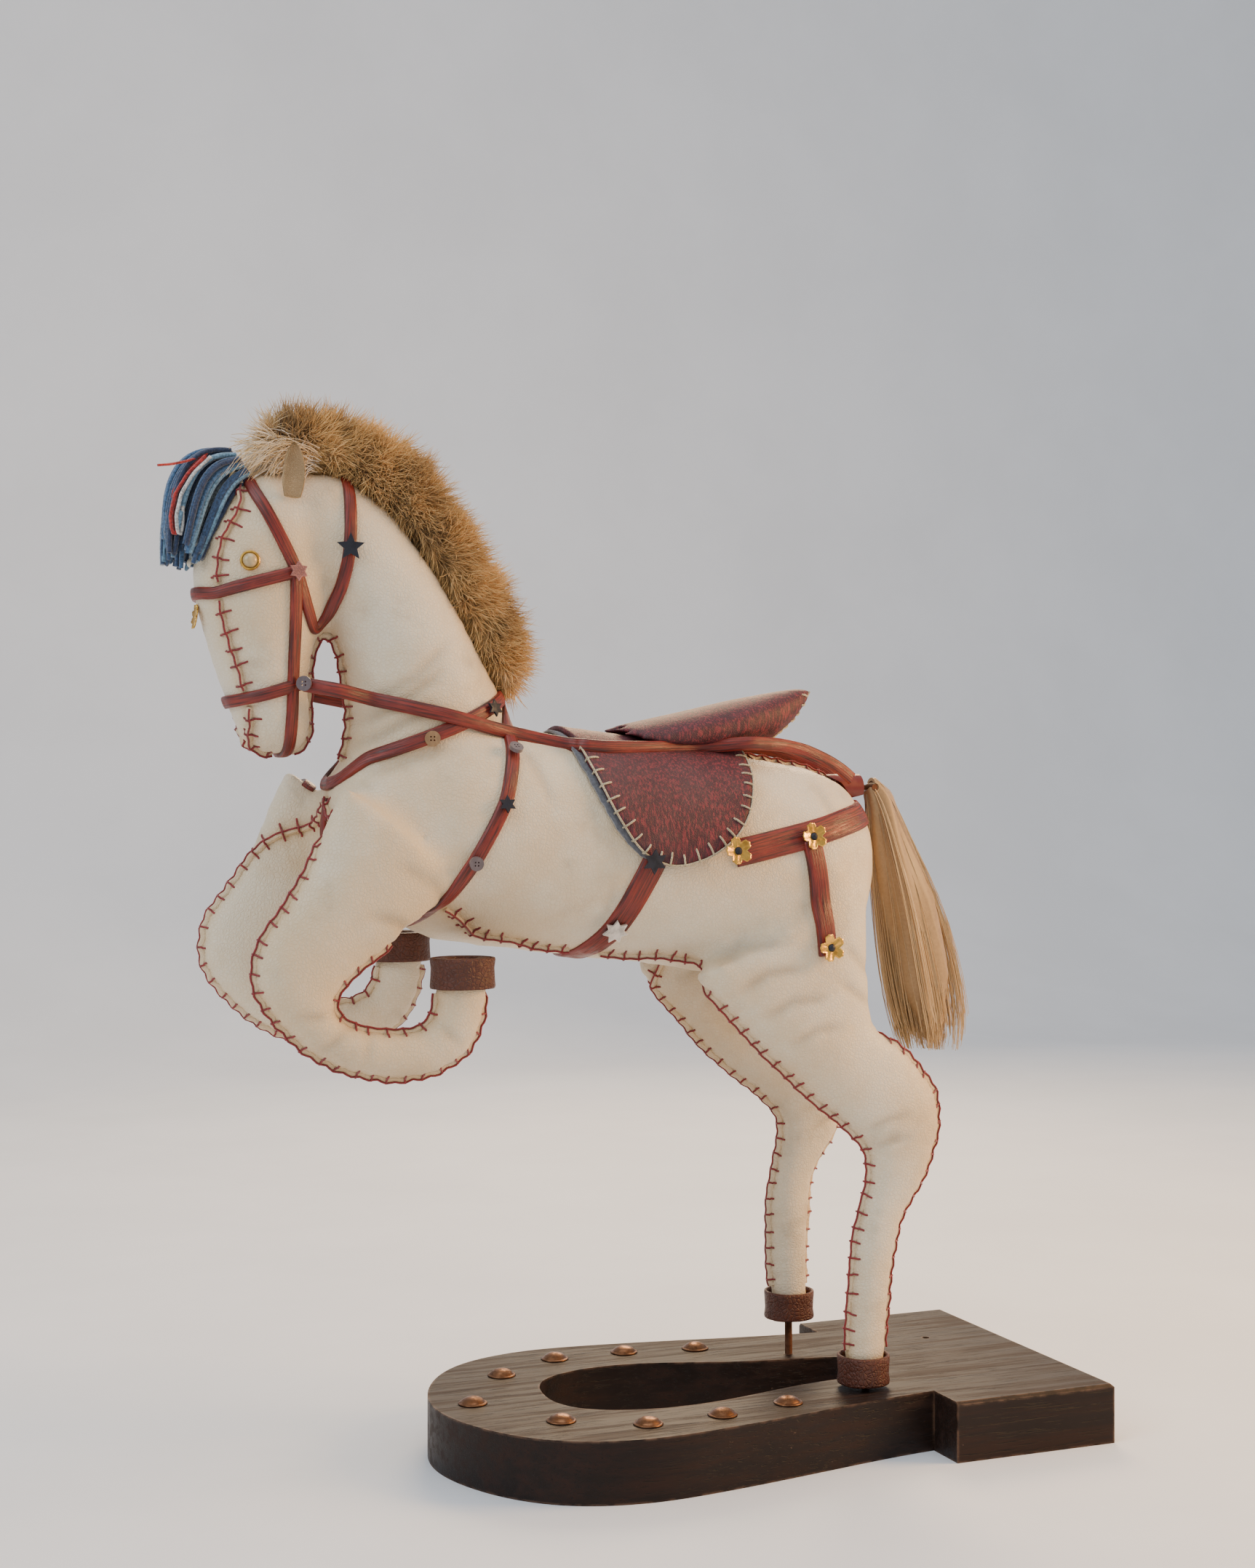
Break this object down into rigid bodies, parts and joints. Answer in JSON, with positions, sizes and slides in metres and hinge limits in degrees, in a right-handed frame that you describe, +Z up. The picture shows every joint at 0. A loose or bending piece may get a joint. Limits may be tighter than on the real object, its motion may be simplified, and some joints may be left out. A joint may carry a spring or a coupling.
{
  "type": "stitched leather toy horse on a stand",
  "caption": "Hand-stitched, stuffed leather horse rearing in bridle, saddle and breeching, carried on two iron rods above a horseshoe-shaped wooden base.",
  "frame": {"origin": "middle of the overall box, on the underside of the wooden base", "axes": "+Z up, +X from the horse's head towards its tail, +Y from its near (left) side to its far side"},
  "size_m": [0.356, 0.134, 0.39],
  "materials": {
    "antique_brass": "tarnished brass, rubbed bright on top",
    "blaze_leather": "white, smooth",
    "bone": "ivory-coloured",
    "brown_leather": "brown, coarse grain",
    "button_wood": "polished",
    "dark_metal": "blackened",
    "dark_wood": "dark stained, satin, worn",
    "fur": "tan fur with pale tips",
    "gold_brass": "polished, aged",
    "grey_suede": "grey-blue suede",
    "horn": "grey-mauve",
    "horsehair": "blond horsehair",
    "pink_leather": "faded red",
    "plum_leather": "plum with rubbed pink streaks",
    "red_leather": "brick red with dark streaks",
    "rusty_iron": "rusty",
    "silver_metal": "bright",
    "stuffing": "loose fibre",
    "tan_leather": "beige, thin",
    "thread": "crimson thread",
    "white_leather": "off-white, soft grain",
    "yarn": "blue, white and red yarn"
  },
  "bodies": {
    "root": {"base_board": "dark_wood", "base_nails": "antique_brass", "blaze_ornament": "gold_brass", "blaze_tack": "bone", "breast_collar": "red_leather", "breeching": "red_leather", "bridle_rosettes": "pink_leather", "browband": "red_leather", "cheek_strap": "red_leather", "chest_strap": "red_leather", "collar_buttons": "button_wood", "crownpiece": "red_leather", "crupper_loop": "red_leather", "eyes": "gold_brass", "face_gusset": "blaze_leather", "far_ear": "tan_leather", "far_foreleg_cuff": "brown_leather", "far_foreleg_stuffing": "stuffing", "far_foreleg_wire": "rusty_iron", "far_hindleg_cuff": "brown_leather", "far_hindleg_stuffing": "stuffing", "far_hip_drop": "red_leather", "far_leg_rod": "rusty_iron", "far_rein": "red_leather", "far_side_panel": "white_leather", "flap_stars": "dark_metal", "forelock_tie": "thread", "girth": "red_leather", "girth_flowers": "silver_metal", "gold_flowers": "gold_brass", "head_stuffing": "stuffing", "hoof_soles": "brown_leather", "mane": "fur", "near_ear": "tan_leather", "near_foreleg_cuff": "brown_leather", "near_foreleg_stuffing": "stuffing", "near_foreleg_wire": "rusty_iron", "near_hindleg_cuff": "brown_leather", "near_hindleg_stuffing": "stuffing", "near_hip_drop": "red_leather", "near_leg_rod": "rusty_iron", "near_rein": "red_leather", "near_side_panel": "white_leather", "neck_stuffing": "stuffing", "noseband": "red_leather", "rein_buttons": "horn", "saddle_flaps": "plum_leather", "saddle_lining": "grey_suede", "saddle_seat": "plum_leather", "small_stars": "dark_metal", "spine_wire": "rusty_iron", "surcingle": "red_leather", "surcingle_buttons": "horn", "throat_stars": "dark_metal", "throat_strap": "red_leather", "trunk_stuffing": "stuffing", "underbody_gusset": "white_leather"},
    "tail_dock": {"tail_dock": "horsehair"},
    "tail_hair": {"tail_hair": "horsehair"},
    "forelock": {"forelock": "yarn"}
  },
  "joints": [
    {"name": "tail_lift", "type": "hinge", "parent": "root", "child": "tail_dock", "pos_m": [0.104, -0.006, 0.255], "axis": [0, -1, 0], "range_deg": [0, 55]},
    {"name": "tail_sway", "type": "hinge", "parent": "tail_dock", "child": "tail_hair", "pos_m": [0.104, -0.006, 0.255], "axis": [1, 0, 0], "range_deg": [-20, 20]},
    {"name": "forelock_lift", "type": "hinge", "parent": "root", "child": "forelock", "pos_m": [-0.159, -0.006, 0.37], "axis": [0, 1, 0], "range_deg": [0, 75]}
  ]
}
